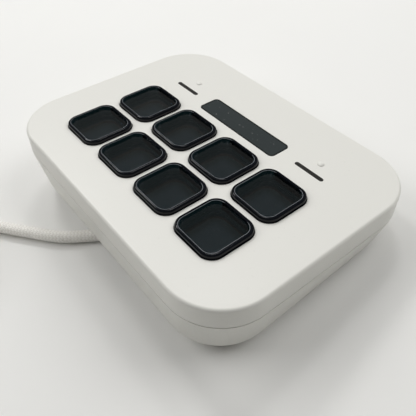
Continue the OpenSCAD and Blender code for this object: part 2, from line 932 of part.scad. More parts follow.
// Tapered rubber boot with grip rings, its root in the socket
module cable_boot() {
    ring_l = boot_l / (2 * boot_rings + 1);
    color("gainsboro")
        translate([0, cave_y, boot_z])
            rotate([-90, 0, 0])
                rotate_extrude() {
                    translate([0, root_gap - boot_seat])
                        square([root_d / 2, boot_seat]);
                    polygon([[0, 0], [boot_d / 2, 0], [boot_d / 2, ring_l],
                             [cable_d / 2 + boot_tip_wall, boot_l], [0, boot_l]]);
                    for (i = [1 : boot_rings])
                        translate([0, 2 * i * ring_l - ring_l / 2])
                            square([boot_d / 2 - boot_ring_step * i, ring_l]);
                }
}

module cable() {
    color("whitesmoke")
        tube(ROUTE, cable_d);
}

module cable_coil() {
    color("whitesmoke")
        translate([coil_at.x, coil_at.y, 0])
            rotate_extrude()
                translate([coil_r, coil_h / 2])
                    round_rect(coil_w, coil_h, cable_d / 2);
}

module cable_tail() {
    color("whitesmoke")
        tube(TAIL, cable_d);
}

// The plug lies along +X on top of the coil, its grip's end at the cable
module plug_grip() {
    color("whitesmoke")
        translate(plug_start)
            rotate([0, 90, 0])
                rotate([0, 0, 90])
                    soft_block(grip_w, grip_t, grip_r, 0, grip_l, grip_edge_r);
}

module plug_shell() {
    color("silver")
        translate(plug_start + [grip_l, 0, 0])
            rotate([0, 90, 0])
                rotate([0, 0, 90])
                    difference() {
                        slot(plug_w, plug_t, 0, plug_l);
                        slot(plug_w - 2 * plug_wall, plug_t - 2 * plug_wall, plug_wall, plug_l + over);
                    }
}

// Black moulded key: cap wall, retaining flange, skirt and the lip under the window
module key_frame(spot) {
    color("black")
        on_face()
            translate(spot)
                difference() {
                    union() {
                        soft_block(key_w, key_w, key_r, skirt_low, key_proud, key_edge_r);
                        block(key_flange_w, key_flange_w, key_r + (key_flange_w - key_w) / 2,
                              flange_low, flange_top);
                    }
                    block(key_window, key_window, key_window_r, skirt_low + key_lip_t, key_proud + over);
                    block(key_window - 2 * key_lip_w, key_window - 2 * key_lip_w, key_window_r - key_lip_w,
                          skirt_low - over, 0);
                }
}

module key_window_block(spot) {
    color("lightsteelblue")
        on_face()
            translate(spot)
                soft_block(key_window, key_window, key_window_r, skirt_low + key_lip_t, window_top,
                           key_window_edge_r);
}

top_shell();
bottom_shell();
foot_pad();
info_window();
touch_strips();
strip_leds();
key_mat();
key_board();
display_glass();
backlight();
display_frame();
display_screws();
display_ribbon();
key_ribbon();
main_board();
board_chips();
board_sockets();
board_screws();
ballast_plate();
shell_screws();
cable_boot();
cable();
cable_coil();
cable_tail();
plug_grip();
plug_shell();
for (i = [1 : key_count]) {
    key_frame(KEY_SPOTS[i - 1]);
    key_window_block(KEY_SPOTS[i - 1]);
}
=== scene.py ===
import json
import math

import bmesh
import bpy
from mathutils import Matrix, Vector


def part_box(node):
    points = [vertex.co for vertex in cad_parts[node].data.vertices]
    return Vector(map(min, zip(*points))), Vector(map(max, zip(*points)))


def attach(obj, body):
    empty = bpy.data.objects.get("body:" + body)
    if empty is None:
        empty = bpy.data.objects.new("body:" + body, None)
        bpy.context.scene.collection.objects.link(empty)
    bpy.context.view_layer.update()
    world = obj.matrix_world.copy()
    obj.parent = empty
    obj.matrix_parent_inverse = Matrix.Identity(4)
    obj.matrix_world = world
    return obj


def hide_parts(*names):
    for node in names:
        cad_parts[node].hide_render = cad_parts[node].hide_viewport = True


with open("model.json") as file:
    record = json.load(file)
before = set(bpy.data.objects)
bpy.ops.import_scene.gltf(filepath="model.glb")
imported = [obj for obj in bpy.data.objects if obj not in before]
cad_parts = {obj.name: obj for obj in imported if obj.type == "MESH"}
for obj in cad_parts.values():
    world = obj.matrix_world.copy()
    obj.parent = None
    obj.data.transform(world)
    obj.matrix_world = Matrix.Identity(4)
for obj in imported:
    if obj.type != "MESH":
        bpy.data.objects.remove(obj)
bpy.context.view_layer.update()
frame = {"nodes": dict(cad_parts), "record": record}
nodes = frame["nodes"]
scene = bpy.context.scene
print("frame loaded,", len(nodes), "nodes")

mm = 0.001
keyCount = 8
faceTilt = math.radians(7.5)  # slope of the face, front to rear
faceAt = Vector((0, -0.53, 20.844)) * mm  # middle of the face
toFace = Matrix.Translation(faceAt) @ Matrix.Rotation(faceTilt, 4, "X")
stripX = 29.2 * mm  # strips and nubs lie this far out on the face, left and right
windowY = -17.1 * mm  # the row of the window and the strips on the face


def addTo(bm, part):
    # puts a finished bmesh into another one
    mesh = bpy.data.meshes.new("part")
    part.to_mesh(mesh)
    part.free()
    bm.from_mesh(mesh)
    bpy.data.meshes.remove(mesh)


def edgesAlong(bm, axis, length):
    # the edges that run along this axis on a block of this length
    return [e for e in bm.edges if abs(e.verts[0].co[axis] - e.verts[1].co[axis]) > length / 2]


def roundOff(bm, edges, size, steps):
    bmesh.ops.bevel(bm, geom=edges, offset=size, affect="EDGES", segments=steps, profile=0.5, material=-1)


def newPiece(name, bm):
    mesh = bpy.data.meshes.new(name)
    bm.to_mesh(mesh)
    bm.free()
    piece = bpy.data.objects.new(name, mesh)
    scene.collection.objects.link(piece)
    return piece


# Camera

cameraSettings = {
    "at": (-94.998 * mm, 59.612 * mm, 122.991 * mm),
    "right": (-0.62678, -0.77183, -0.10690),
    "up": (0.55035, -0.53564, 0.64047),
    "back": (-0.55159, 0.34260, 0.76050),
    "lens": 42.14,  # focal length and sensor width in millimetres
    "sensor": 36,
    "nearest": 5 * mm,  # the camera sees nothing closer than this
}


def makeCamera(s):
    data = bpy.data.cameras.new("camera")
    data.lens = s["lens"]
    data.sensor_width = s["sensor"]
    data.clip_start = s["nearest"]
    camera = bpy.data.objects.new("camera", data)
    turn = Matrix((s["right"], s["up"], s["back"])).transposed().to_4x4()
    camera.matrix_world = Matrix.Translation(s["at"]) @ turn
    scene.collection.objects.link(camera)
    scene.camera = camera


makeCamera(cameraSettings)


# Cable: out of the boot, over the table, about ten turns of coil, and up to the plug on top

cableSettings = {
    "diameter": 4.0 * mm,
    "length": 1.5,
    "route": (  # these points, the tail's and the coil's numbers are in millimetres
        (0, 20, 3.2), (0, 22, 3.2), (0.4, 25, 2.7), (1.4, 28, 2.1), (3.2, 31, 2), (6.2, 34.8, 2),
        (9.7, 38.9, 2), (12.8, 42.8, 2), (16.5, 46.9, 2), (21, 50.6, 2), (25.7, 53.9, 2),
        (30.6, 57.4, 2), (35.6, 60.8, 2), (40.6, 64.2, 2), (45.7, 67.5, 2), (50.8, 70.8, 2),
        (55.9, 74.1, 2), (60.9, 77.3, 2),
    ),
    "tail": (
        (26.3, 95.8, 10.4), (27.7, 91.9, 11.3), (30, 88, 13), (33.2, 84.6, 14.6),
        (37.2, 81.4, 15.4), (41.2, 80, 15.6), (44.5, 80, 15.6),
    ),
    "coilAt": (45.5, 101),
    "coilRadius": 22,  # to the middle of the turns
    "gap": 4.2,  # from one turn to the next
    "outermost": 1.5,  # the first turn lies this many gaps further out
    "lowest": 2,  # height of the first layer's middle
    "wholeTurns": 9,  # and then the part of a turn that ends at the tail
    "shifts": (  # from this turn to that one, the winding moves a column inwards, or outwards
        (0.82, 1, 1), (1.82, 2, 1), (2.82, 3, 1), (4.4, 4.6, -1),
        (5.4, 5.6, -1), (6.4, 6.6, -1), (7.9, 8.1, 1), (8.9, 9.1, 1),
    ),
    "climbs": ((3.6, 3.8), (7.12, 7.34)),  # between these turns it climbs a layer
    "stepsPerTurn": 36,
    "sides": 16,
    "ringStep": 1.2 * mm,
}


def ease(t, start, end):
    # 0 before start, 1 after end, and a smooth rise between them
    x = min(max((t - start) / (end - start), 0), 1)
    return x * x * (3 - 2 * x)


def coilPoints(s):
    centre = Vector((*s["coilAt"], 0))
    first = Vector(s["route"][-1]) - centre
    last = Vector(s["tail"][0]) - centre
    startAngle = math.atan2(first.y, first.x)
    part = (math.atan2(last.y, last.x) - startAngle) / (2 * math.pi) % 1
    turns = s["wholeTurns"] + part
    points = []
    for i in range(1, round(turns * s["stepsPerTurn"])):
        t = i / s["stepsPerTurn"]
        column = sum(way * ease(t, a, b) for a, b, way in s["shifts"])
        layer = sum(ease(t, a, b) for a, b in s["climbs"])
        radius = s["coilRadius"] + s["gap"] * (s["outermost"] - column)
        angle = startAngle + 2 * math.pi * t
        height = s["lowest"] + s["gap"] * layer
        points.append(centre + Vector((radius * math.cos(angle), radius * math.sin(angle), height)))
    return points


def smoothPath(points, step):
    # a smooth curve through the points, cut into short steps
    path = []
    for i in range(len(points) - 1):
        before = points[max(i - 1, 0)]
        a, b = points[i], points[i + 1]
        after = points[min(i + 2, len(points) - 1)]
        count = max(round((b - a).length / step), 1)
        for k in range(count):
            t = k / count
            path.append(0.5 * (2 * a + (b - before) * t + (2 * before - 5 * a + 4 * b - after) * t * t
                               + (3 * a - before - 3 * b + after) * t * t * t))
    path.append(points[-1])
    return path


def sweepTube(name, path, radius, sides):
    # a closed tube along the path; U runs once round it, V is metres along it
    bm = bmesh.new()
    uv = bm.loops.layers.uv.new("UVMap")
    upright = Vector((0, 0, 1))
    rings, along, distance = [], [], 0
    for i, p in enumerate(path):
        heading = (path[min(i + 1, len(path) - 1)] - path[max(i - 1, 0)]).normalized()
        sideways = heading.cross(upright).normalized()
        lift = sideways.cross(heading)
        circle = bmesh.ops.create_circle(bm, segments=sides, radius=radius)["verts"]
        place = Matrix((sideways, lift, -heading)).transposed().to_4x4()
        bmesh.ops.transform(bm, matrix=Matrix.Translation(p) @ place, verts=circle)
        distance += (p - path[i - 1]).length if i else 0
        rings.append(circle)
        along.append(distance)
    for i in range(len(rings) - 1):
        for k in range(sides):
            n = (k + 1) % sides
            face = bm.faces.new((rings[i][k], rings[i][n], rings[i + 1][n], rings[i + 1][k]))
            face.smooth = True
            turned = (k / sides, (k + 1) / sides, (k + 1) / sides, k / sides)
            far = (along[i], along[i], along[i + 1], along[i + 1])
            for loop, u, v in zip(face.loops, turned, far):
                loop[uv].uv = (u, v)
    bm.faces.new(rings[0])
    bm.faces.new(rings[-1])
    bmesh.ops.recalc_face_normals(bm, faces=bm.faces)
    return newPiece(name, bm)


tieSettings = {
    "turn": 45,  # where it sits on the coil, in degrees from +X
    "width": 7 * mm,
    "thick": 0.7 * mm,
    "corner": 1.6 * mm,
    "cornerSteps": 5,
    "edge": 0.12 * mm,
    "edgeSteps": 2,
    "sharp": math.radians(60),  # an edge that turns more than this is rounded
    "endFacing": 0.9,  # a face of the block that looks along it more than this is an end
    "section": ((13.1, 0.72), (30.4, 0.72), (30.4, 12.6), (17.2, 12.6), (13.1, 8.4)),  # mm, out and up
    "tabAt": (24.4, 13.35),  # mm, out and up
    "tab": (9.5 * mm, 6.2 * mm, 0.75 * mm),
}


def roundCorners(bm, axis, length, s):
    # rounds the edges that run along an axis
    roundOff(bm, edgesAlong(bm, axis, length), s["corner"], s["cornerSteps"])


def roundSharp(bm, s):
    sharp = [e for e in bm.edges if e.calc_face_angle(0) > s["sharp"]]
    roundOff(bm, sharp, s["edge"], s["edgeSteps"])


def makeTie(s, coilAt):
    # a soft strap round all the turns, with its loose end lying on top
    bm = bmesh.new()
    corners = [bm.verts.new((out * mm, -s["width"] / 2, up * mm)) for out, up in s["section"]]
    side = bm.faces.new(corners)
    pulled = bmesh.ops.extrude_face_region(bm, geom=[side])["geom"]
    ends = [v for v in pulled if isinstance(v, bmesh.types.BMVert)]
    bmesh.ops.translate(bm, vec=(0, s["width"], 0), verts=ends)
    roundCorners(bm, 1, s["width"], s)
    bmesh.ops.recalc_face_normals(bm, faces=bm.faces)
    flatEnds = [f for f in bm.faces if abs(f.normal.y) > s["endFacing"]]
    bmesh.ops.delete(bm, geom=flatEnds, context="FACES")
    bmesh.ops.solidify(bm, geom=bm.faces, thickness=-s["thick"])
    roundSharp(bm, s)
    tab = bmesh.new()
    bmesh.ops.create_cube(tab, size=1)
    bmesh.ops.scale(tab, vec=s["tab"], verts=tab.verts)
    roundCorners(tab, 2, s["tab"][2], s)
    roundSharp(tab, s)
    bmesh.ops.translate(tab, vec=(s["tabAt"][0] * mm, 0, s["tabAt"][1] * mm), verts=tab.verts)
    addTo(bm, tab)
    bmesh.ops.recalc_face_normals(bm, faces=bm.faces)
    turned = Matrix.Rotation(math.radians(s["turn"]), 4, "Z")
    place = Matrix.Translation((coilAt[0] * mm, coilAt[1] * mm, 0)) @ turned
    bmesh.ops.transform(bm, matrix=place, verts=bm.verts)
    tie = newPiece("cable_tie", bm)
    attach(tie, "base")
    return tie


def makeCable(s):
    points = [Vector(p) for p in s["route"]] + coilPoints(s) + [Vector(p) for p in s["tail"]]
    path = smoothPath([p * mm for p in points], s["ringStep"])
    cable = sweepTube("braided_cable", path, s["diameter"] / 2, s["sides"])
    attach(cable, "base")
    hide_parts("cable", "cable_coil", "cable_tail")
    return cable


tie = makeTie(tieSettings, cableSettings["coilAt"])
cable = makeCable(cableSettings)
print("cable laid")


# Touch strips: smoked light pipes that cover the shell's slots and stand a hair over the face

stripSettings = {
    "length": 10.9 * mm,
    "width": 1.6 * mm,
    "rise": 0.02 * mm,
    "depth": 2.2 * mm,
    "edge": 0.1 * mm,
    "edgeSteps": 3,
    "endShare": 0.499,  # of the width, just short of a half, for round ends
    "endSteps": 10,
    "flangeLength": 12.9 * mm,
    "flangeWidth": 3.5 * mm,
    "flangeDepth": 3.0 * mm,
}


def addSlot(bm, s, length, width, low, high, place):
    # a bar with round ends and a soft upper rim
    bar = bmesh.new()
    bmesh.ops.create_cube(bar, size=1)
    bmesh.ops.scale(bar, vec=(length, width, high - low), verts=bar.verts)
    bmesh.ops.translate(bar, vec=(0, 0, (high + low) / 2), verts=bar.verts)
    roundOff(bar, edgesAlong(bar, 2, high - low), width * s["endShare"], s["endSteps"])
    rim = [e for e in bar.edges if min(v.co.z for v in e.verts) > high - s["edge"] / 2]
    roundOff(bar, rim, s["edge"], s["edgeSteps"])
    bmesh.ops.transform(bar, matrix=place, verts=bar.verts)
    addTo(bm, bar)


def makeStrips(s):
    bm = bmesh.new()
    for side in (-1, 1):
        place = toFace @ Matrix.Translation((side * stripX, windowY, 0))
        addSlot(bm, s, s["length"], s["width"], -s["depth"], s["rise"], place)
        addSlot(bm, s, s["flangeLength"], s["flangeWidth"], -s["flangeDepth"], -s["depth"], place)
    strips = newPiece("smoked_strips", bm)
    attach(strips, "base")
    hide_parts("touch_strips")
    return strips


strips = makeStrips(stripSettings)
print("touch strips made")


# Nubs: small domes a finger finds, over the lower ones of the shell

nubSettings = {
    "diameter": 2.1 * mm,
    "rise": 0.42 * mm,
    "sunk": 0.1 * mm,
    "y": -22.2 * mm,
    "sides": 40,
    "rings": 24,
}


def makeNubs(s):
    bm = bmesh.new()
    for side in (-1, 1):
        dome = bmesh.new()
        bmesh.ops.create_uvsphere(dome, u_segments=s["sides"], v_segments=s["rings"], radius=1)
        bmesh.ops.scale(dome, vec=(s["diameter"] / 2, s["diameter"] / 2, s["rise"]), verts=dome.verts)
        bmesh.ops.bisect_plane(dome, geom=dome.verts[:] + dome.edges[:] + dome.faces[:],
                               plane_co=(0, 0, -s["sunk"]), plane_no=(0, 0, -1), clear_outer=True)
        for face in dome.faces:
            face.smooth = True
        rim = [e for e in dome.edges if e.is_boundary]
        bmesh.ops.holes_fill(dome, edges=rim, sides=0)
        place = toFace @ Matrix.Translation((side * stripX, s["y"], 0))
        bmesh.ops.transform(dome, matrix=place, verts=dome.verts)
        addTo(bm, dome)
    nubs = newPiece("face_nubs", bm)
    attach(nubs, "base")
    return nubs


nubs = makeNubs(nubSettings)
print("nubs made")


# Shared shader effects

def newGroup(name, inputs, outputs):
    group = bpy.data.node_groups.new(name, "ShaderNodeTree")
    for label, kind, value in inputs:
        socket = group.interface.new_socket(name=label, in_out="INPUT", socket_type=kind)
        if value is not None:
            socket.default_value = value
    for label, kind in outputs:
        group.interface.new_socket(name=label, in_out="OUTPUT", socket_type=kind)
    return group, group.nodes.new("NodeGroupInput"), group.nodes.new("NodeGroupOutput")


def feed(tree, socket, value):
    # links the socket to another one, or sets it to a plain value
    if isinstance(value, bpy.types.NodeSocket):
        tree.links.new(value, socket)
    else:
        socket.default_value = value


def mathNode(tree, operation, *values):
    node = tree.nodes.new("ShaderNodeMath")
    node.operation = operation
    for socket, value in zip(node.inputs, values):
        feed(tree, socket, value)
    return node.outputs[0]


def noiseNode(tree, vector, scale, detail, roughness):
    node = tree.nodes.new("ShaderNodeTexNoise")
    feed(tree, node.inputs["Vector"], vector)
    feed(tree, node.inputs["Scale"], scale)
    node.inputs["Detail"].default_value = detail
    node.inputs["Roughness"].default_value = roughness
    return node.outputs["Fac"]


def mixColor(tree, factor, a, b):
    # the Mix node takes its colours at 6 and 7, and gives the mixed one at 2
    node = tree.nodes.new("ShaderNodeMix")
    node.data_type = "RGBA"
    for at, value in ((0, factor), (6, a), (7, b)):
        feed(tree, node.inputs[at], value)
    return node.outputs[2]


def smoothMask(tree, value, stretch):
    # grows from 0 to 1 while the value passes through the stretch
    node = tree.nodes.new("ShaderNodeMapRange")
    node.interpolation_type = "SMOOTHSTEP"
    tree.links.new(value, node.inputs["Value"])
    node.inputs["From Min"].default_value = stretch[0]
    node.inputs["From Max"].default_value = stretch[1]
    return node.outputs[0]


mouldedEffect = {
    "grain": (2.0, 0.6),  # detail and roughness of the noise
    "drift": (45.0, 2.0, 0.5),  # scale, detail and roughness
    "specks": (900.0, 1.0, 0.5),
    "tintShare": 0.6,  # of the tint, where the drift is strongest
    "speckEdge": (9.0, -6.2),  # slope and offset that leave only the noise's peaks
    "dustColor": (0.55, 0.54, 0.52),
    "dustRoughness": 0.3,  # that dust adds
}


def makeMoulded(s):
    # fine spark-eroded texture, slow colour drift and a little dust, for moulded plastic and rubber
    group, given, out = newGroup(
        "moulded",
        [("Vector", "NodeSocketVector", None), ("Color", "NodeSocketColor", (0.8, 0.8, 0.8, 1)),
         ("Tint", "NodeSocketColor", (0.7, 0.7, 0.7, 1)), ("Grain Scale", "NodeSocketFloat", 4000.0),
         ("Roughness", "NodeSocketFloat", 0.4), ("Roughness Spread", "NodeSocketFloat", 0.08),
         ("Dust", "NodeSocketFloat", 0.1)],
        [("Color", "NodeSocketColor"), ("Roughness", "NodeSocketFloat"), ("Height", "NodeSocketFloat")])
    vector = given.outputs["Vector"]
    grain = noiseNode(group, vector, given.outputs["Grain Scale"], *s["grain"])
    drift = noiseNode(group, vector, *s["drift"])
    specks = noiseNode(group, vector, *s["specks"])
    dusty = mathNode(group, "MULTIPLY_ADD", specks, *s["speckEdge"])
    clamp = group.nodes.new("ShaderNodeClamp")
    group.links.new(dusty, clamp.inputs[0])
    amount = mathNode(group, "MULTIPLY", clamp.outputs[0], given.outputs["Dust"])
    share = mathNode(group, "MULTIPLY", drift, s["tintShare"])
    tinted = mixColor(group, share, given.outputs["Color"], given.outputs["Tint"])
    dusted = mixColor(group, amount, tinted, (*s["dustColor"], 1))
    group.links.new(dusted, out.inputs["Color"])
    spread = mathNode(group, "MULTIPLY_ADD", mathNode(group, "SUBTRACT", drift, 0.5),
                      given.outputs["Roughness Spread"], given.outputs["Roughness"])
    rougher = mathNode(group, "MULTIPLY", amount, s["dustRoughness"])
    group.links.new(mathNode(group, "ADD", spread, rougher), out.inputs["Roughness"])
    group.links.new(grain, out.inputs["Height"])
    return group


def makeBraid():
    # two families of strands that cross round a tube; U runs once round it, V is metres along it
    group, given, out = newGroup(
        "braid",
        [("UV", "NodeSocketVector", None), ("Strands", "NodeSocketFloat", 8.0),
         ("Pitch", "NodeSocketFloat", 90.0)],
        [("Height", "NodeSocketFloat"), ("Shade", "NodeSocketFloat")])
    split = group.nodes.new("ShaderNodeSeparateXYZ")
    group.links.new(given.outputs["UV"], split.inputs[0])
    u = mathNode(group, "MULTIPLY", split.outputs[0], given.outputs["Strands"])
    v = mathNode(group, "MULTIPLY", split.outputs[1], given.outputs["Pitch"])
    left = mathNode(group, "FRACT", mathNode(group, "ADD", u, v))
    right = mathNode(group, "FRACT", mathNode(group, "SUBTRACT", u, v))
    leftCrown = mathNode(group, "SINE", mathNode(group, "MULTIPLY", left, math.pi))
    rightCrown = mathNode(group, "SINE", mathNode(group, "MULTIPLY", right, math.pi))
    wave = mathNode(group, "SINE", mathNode(group, "MULTIPLY", mathNode(group, "ADD", u, u), math.pi))
    over = mathNode(group, "MULTIPLY_ADD", wave, 0.5, 0.5)  # 1 where the left family lies on top
    leftPart = mathNode(group, "MULTIPLY", leftCrown, over)
    rightPart = mathNode(group, "MULTIPLY", rightCrown, mathNode(group, "SUBTRACT", 1.0, over))
    height = mathNode(group, "MAXIMUM", leftPart, rightPart)
    group.links.new(height, out.inputs["Height"])
    group.links.new(mathNode(group, "POWER", height, 0.5), out.inputs["Shade"])
    return group


def makeKeyPlace():
    # how far a point lies in from the side of its key cap, on a face with the grid's middle at the origin
    group, given, out = newGroup(
        "key_place",
        [("Vector", "NodeSocketVector", None), ("Pitch", "NodeSocketFloat", 0.0195),
         ("Flat", "NodeSocketFloat", 0.0045), ("Corner", "NodeSocketFloat", 0.004)],
        [("Inwards", "NodeSocketFloat"), ("Height", "NodeSocketFloat")])
    split = group.nodes.new("ShaderNodeSeparateXYZ")
    group.links.new(given.outputs["Vector"], split.inputs[0])
    half = mathNode(group, "MULTIPLY", given.outputs["Pitch"], 0.5)
    past, squared = [], []
    for axis in (0, 1):
        wrapped = mathNode(group, "WRAP", split.outputs[axis], given.outputs["Pitch"], 0.0)
        across = mathNode(group, "ABSOLUTE", mathNode(group, "SUBTRACT", wrapped, half))
        past.append(mathNode(group, "SUBTRACT", across, given.outputs["Flat"]))
        clipped = mathNode(group, "MAXIMUM", past[-1], 0.0)
        squared.append(mathNode(group, "MULTIPLY", clipped, clipped))
    corner = mathNode(group, "SQRT", mathNode(group, "ADD", squared[0], squared[1]))
    flat = mathNode(group, "MINIMUM", mathNode(group, "MAXIMUM", past[0], past[1]), 0.0)
    outside = mathNode(group, "ADD", corner, flat)
    inwards = mathNode(group, "SUBTRACT", given.outputs["Corner"], outside)
    group.links.new(inwards, out.inputs["Inwards"])
    group.links.new(split.outputs[2], out.inputs["Height"])
    return group


moulded = makeMoulded(mouldedEffect)
braid = makeBraid()
keyPlace = makeKeyPlace()
print("shader groups made")


# Materials: one for each slot of the record

mouldedDefaults = {
    "spread": 0.08,  # of the roughness
    "dust": 0.0,
    "bump": 0.15,
    "depth": 0.02 * mm,
    "specular": 0.5,
    "metallic": 0.0,
}


def startMaterial(name):
    material = bpy.data.materials.new(name)
    material.use_nodes = True
    tree = material.node_tree
    return material, tree, tree.nodes["Principled BSDF"]


def objectVector(tree):
    return tree.nodes.new("ShaderNodeTexCoord").outputs["Object"]


def addBump(tree, shader, height, strength, distance):
    bump = tree.nodes.new("ShaderNodeBump")
    bump.inputs["Strength"].default_value = strength
    bump.inputs["Distance"].default_value = distance
    tree.links.new(height, bump.inputs["Height"])
    tree.links.new(bump.outputs[0], shader.inputs["Normal"])


def onFaceVector(tree, y):
    # object coordinates laid along the face, from the point of its middle line at y
    node = tree.nodes.new("ShaderNodeMapping")
    node.vector_type = "TEXTURE"
    node.inputs["Location"].default_value = toFace @ Vector((0, y, 0))
    node.inputs["Rotation"].default_value = (faceTilt, 0, 0)
    tree.links.new(objectVector(tree), node.inputs["Vector"])
    return node.outputs[0]


def startMoulded(name, s):
    # a material with the moulded effect, to use as it is or to build on
    s = {**mouldedDefaults, **s}
    material, tree, shader = startMaterial(name)
    effect = tree.nodes.new("ShaderNodeGroup")
    effect.node_tree = moulded
    tree.links.new(objectVector(tree), effect.inputs["Vector"])
    effect.inputs["Color"].default_value = (*s["color"], 1)
    effect.inputs["Tint"].default_value = (*s["tint"], 1)
    effect.inputs["Grain Scale"].default_value = s["grain"]
    effect.inputs["Roughness"].default_value = s["roughness"]
    effect.inputs["Roughness Spread"].default_value = s["spread"]
    effect.inputs["Dust"].default_value = s["dust"]
    tree.links.new(effect.outputs["Color"], shader.inputs["Base Color"])
    tree.links.new(effect.outputs["Roughness"], shader.inputs["Roughness"])
    addBump(tree, shader, effect.outputs["Height"], s["bump"], s["depth"])
    shader.inputs["Specular IOR Level"].default_value = s["specular"]
    shader.inputs["Metallic"].default_value = s["metallic"]
    return material, tree, shader


def paintUnder(shader):
    # the colour that a moulded material has so far
    return shader.inputs["Base Color"].links[0].from_socket


def addGlow(tree, shader, color):
    tree.links.new(color, shader.inputs["Emission Color"])
    shader.inputs["Emission Strength"].default_value = 1.0


def mouldedMaterial(name, s):
    return startMoulded(name, s)[0]


def coatedMaterial(name, s):
    material, tree, shader = startMoulded(name, s)
    shader.inputs["Coat Weight"].default_value = s["coat"]
    shader.inputs["Coat Roughness"].default_value = s["coatRoughness"]
    return material


def windowMaterial(name, s):
    # smoked window with a black printed border round the display under it
    material, tree, shader = startMoulded(name, s)
    split = tree.nodes.new("ShaderNodeSeparateXYZ")
    tree.links.new(onFaceVector(tree, windowY), split.inputs[0])
    fromSides = []
    for axis in (0, 1):
        across = mathNode(tree, "ABSOLUTE", split.outputs[axis])
        fromSides.append(mathNode(tree, "SUBTRACT", s["size"][axis] / 2, across))
    fromSide = mathNode(tree, "SMOOTH_MIN", *fromSides, s["corner"])
    inside = smoothMask(tree, fromSide, s["border"])  # the print fades out over this stretch
    shown = mixColor(tree, inside, (*s["print"], 1), paintUnder(shader))
    tree.links.new(shown, shader.inputs["Base Color"])
    return material


keySettings = {
    "pitch": 19.5 * mm,
    "width": 17.0 * mm,
    "corner": 4.0 * mm,
    "edgeLine": (1.02 * mm, 0.06 * mm),  # painted highlight line at the rim's inner edge: how far in, half its width
    "lineOver": 1.3 * mm,  # and only what stands higher than this over the face
    "wall": 1.08 * mm,  # the walls under the lens lie further in than this
    "glowRamp": (1.4 * mm, 3.8 * mm),  # the painted glow grows over this stretch, darker towards the walls as painted shade
}


def nodesOnKeys(tree, s):
    # gives how far in from its key's side a point lies, and its height over the face
    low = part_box("key_frame_1")
    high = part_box("key_frame_%d" % keyCount)
    middle = (Vector(low[0]) + Vector(low[1]) + Vector(high[0]) + Vector(high[1])) / 4
    gridY = (toFace.inverted() @ middle).y
    place = tree.nodes.new("ShaderNodeGroup")
    place.node_tree = keyPlace
    place.inputs["Pitch"].default_value = s["pitch"]
    place.inputs["Flat"].default_value = s["width"] / 2 - s["corner"]
    place.inputs["Corner"].default_value = s["corner"]
    tree.links.new(onFaceVector(tree, gridY), place.inputs["Vector"])
    return place.outputs["Inwards"], place.outputs["Height"]


def keyRimMaterial(name, s):
    # gloss black with a painted highlight, a thin light line where the rim meets the lens, and a dim
    # painted glow on the walls under the lens
    material, tree, shader = startMoulded(name, s)
    inwards, height = nodesOnKeys(tree, keySettings)
    # painted highlight: a light line all round each key's rim, where its edge would catch the light
    line = mathNode(tree, "COMPARE", inwards, *keySettings["edgeLine"])
    onTop = mathNode(tree, "GREATER_THAN", height, keySettings["lineOver"])
    highlightMask = mathNode(tree, "MULTIPLY", line, onTop)
    highlighted = mixColor(tree, highlightMask, paintUnder(shader), (*s["line"], 1))
    tree.links.new(highlighted, shader.inputs["Base Color"])
    # painted light: the walls under the lens glow dimly, standing in for the light that reaches them
    # through the lens
    walls = mathNode(tree, "GREATER_THAN", inwards, keySettings["wall"])
    addGlow(tree, shader, mixColor(tree, walls, (0, 0, 0, 1), (*s["walls"], 1)))
    return material


def paintedGlowMaterial(name, s):
    # a dark layer behind the keys with painted light: a glow that stands in for the light reaching it
    # through the clear keys, full in the middle of each key and darker towards its walls as painted shade
    material, tree, shader = startMoulded(name, s)
    inwards = nodesOnKeys(tree, keySettings)[0]
    glowRamp = smoothMask(tree, inwards, keySettings["glowRamp"])
    addGlow(tree, shader, mixColor(tree, glowRamp, (*s["glowEdge"], 1), (*s["glow"], 1)))
    return material


def clearMaterial(name, s):
    material, tree, shader = startMoulded(name, s)
    shader.inputs["Transmission Weight"].default_value = 1.0
    shader.inputs["IOR"].default_value = s["ior"]
    return material


def braidMaterial(name, s):
    material, tree, shader = startMaterial(name)
    effect = tree.nodes.new("ShaderNodeGroup")
    effect.node_tree = braid
    tree.links.new(tree.nodes.new("ShaderNodeTexCoord").outputs["UV"], effect.inputs["UV"])
    effect.inputs["Strands"].default_value = s["strands"]
    effect.inputs["Pitch"].default_value = s["pitch"]
    # painted shade: darker between the strands, down to the gap colour
    shaded = mixColor(tree, effect.outputs["Shade"], (*s["gap"], 1), (*s["color"], 1))
    tree.links.new(shaded, shader.inputs["Base Color"])
    shader.inputs["Roughness"].default_value = s["roughness"]
    shader.inputs["Sheen Weight"].default_value = s["sheen"]
    addBump(tree, shader, effect.outputs["Height"], s["bump"], s["depth"])
    return material


